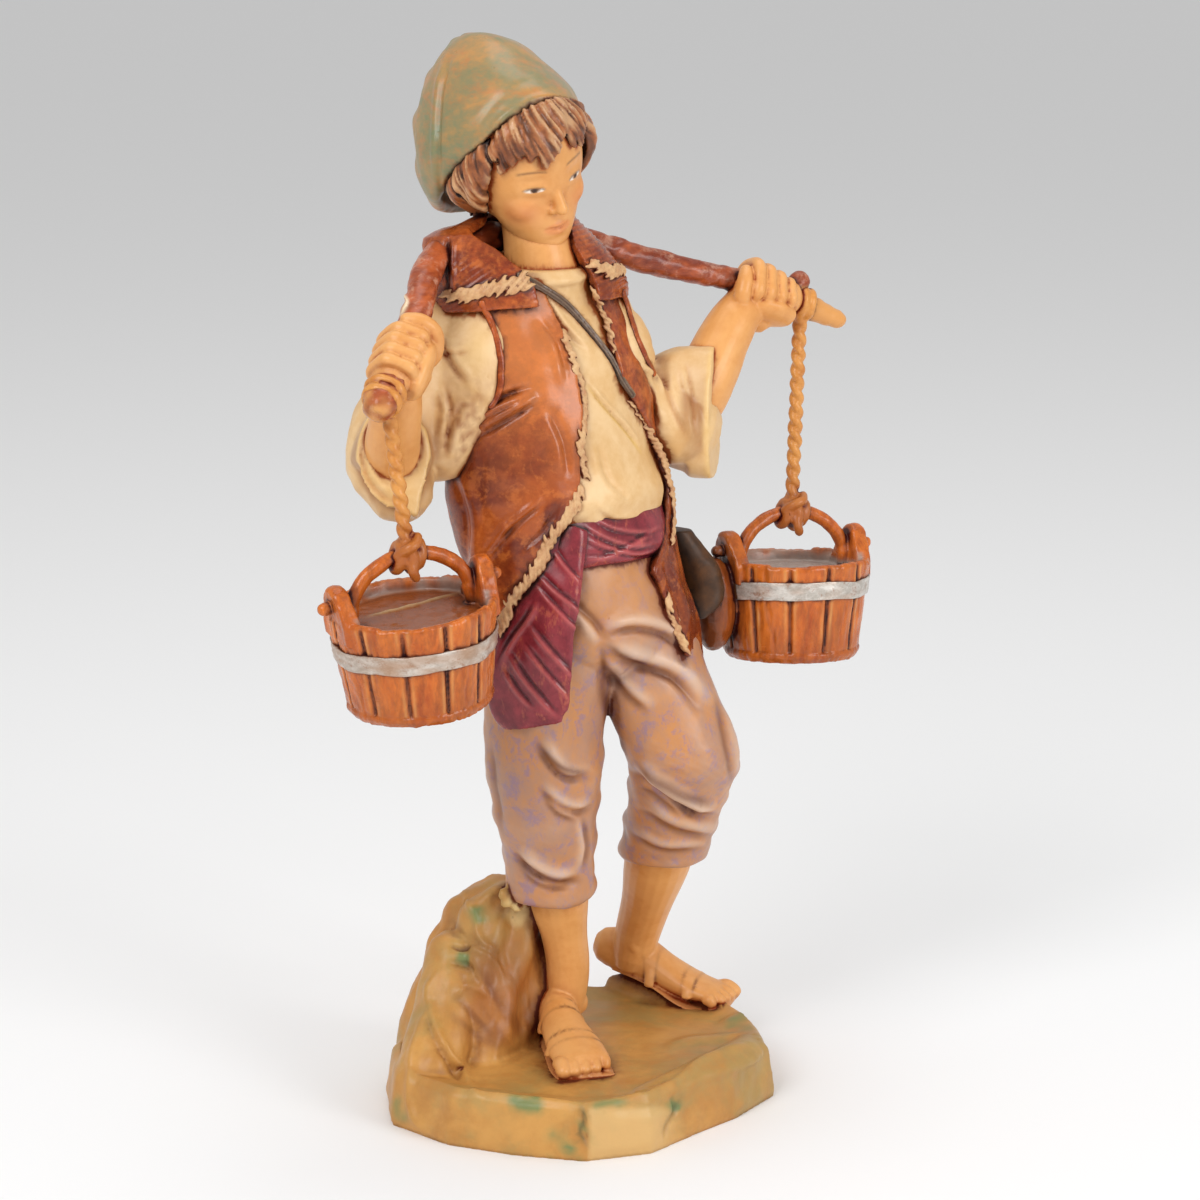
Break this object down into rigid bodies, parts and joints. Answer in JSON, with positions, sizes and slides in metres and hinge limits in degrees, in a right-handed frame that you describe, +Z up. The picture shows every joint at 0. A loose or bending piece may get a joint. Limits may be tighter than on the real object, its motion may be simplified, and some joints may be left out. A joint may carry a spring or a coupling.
{
  "type": "presepe figure",
  "caption": "Moulded and painted nativity figure: a boy in a cap carries wooden buckets on a yoke, on a rocky base that keeps it upright on a shelf.",
  "frame": {"origin": "centre of the flat underside of the rocky base", "axes": "+Z up along the figure; -Y is the show side that the picture looks at; +X is the side of the raised left heel and the far bucket"},
  "size_m": [0.1476, 0.1314, 0.289],
  "materials": {
    "painted_plastic": "satin",
    "skin": "satin",
    "hair": "satin",
    "cap": "satin",
    "shirt": "satin",
    "leather": "satin",
    "fur": "satin",
    "sash": "satin",
    "trousers": "satin",
    "wood": "satin",
    "hoop": "satin",
    "rope": "satin",
    "strap": "satin",
    "rock": "satin"
  },
  "bodies": {
    "root": {"water_carrier": "painted_plastic"}
  },
  "joints": []
}
